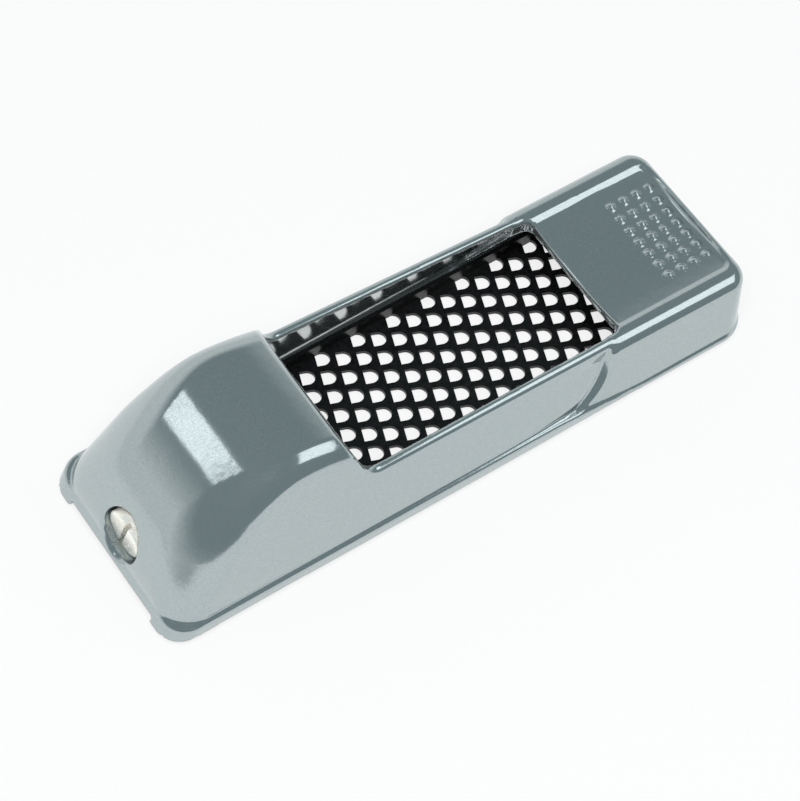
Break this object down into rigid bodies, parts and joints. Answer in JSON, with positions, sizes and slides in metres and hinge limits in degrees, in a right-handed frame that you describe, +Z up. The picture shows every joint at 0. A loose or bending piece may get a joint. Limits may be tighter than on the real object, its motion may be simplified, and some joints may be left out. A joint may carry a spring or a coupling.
{
  "type": "pocket drywall rasp",
  "caption": "Pocket rasp for drywall edges: die-cast body with a palm dome and finger pad, a perforated blade under it, and an end screw that tensions the blade.",
  "frame": {"origin": "centre of the tool in plan, at the height of the tooth tips, which rest on the work", "axes": "+X from the palm dome to the finger pad along the cut, +Y across the tool, +Z up from the blade"},
  "size_m": [0.1486, 0.0492, 0.0334],
  "materials": {
    "body_paint": "glossy grey-green metallic enamel on a zinc casting",
    "blade_steel": "black stove enamel on hardened steel sheet, half gloss",
    "screw_nickel": "bright nickel plate, a little yellow",
    "ring_steel": "blackened spring steel",
    "hook_steel": "zinc-plated pressed steel"
  },
  "bodies": {
    "casting": {"body": "body_paint"},
    "screw": {"tension_screw": "screw_nickel", "retaining_ring": "ring_steel"},
    "hook": {"clamp_hook": "hook_steel"},
    "blade_plate": {"blade": "blade_steel"}
  },
  "joints": [
    {"name": "screw_turn", "type": "hinge", "parent": "casting", "child": "screw", "pos_m": [-0.0677, 0, 0.0096], "axis": [-1, 0, 0], "range_deg": [0, 1440]},
    {"name": "hook_slide", "type": "slide", "parent": "casting", "child": "hook", "axis": [1, 0, 0], "range_m": [0, 0.0032]},
    {"name": "blade_swing", "type": "hinge", "parent": "hook", "child": "blade_plate", "pos_m": [-0.06845, 0, 0.00355], "axis": [0, 1, 0], "range_deg": [0, 18]}
  ],
  "couplings": [
    {"joint": "screw_turn", "follows": "hook_slide", "rad_per_m": 7854}
  ]
}
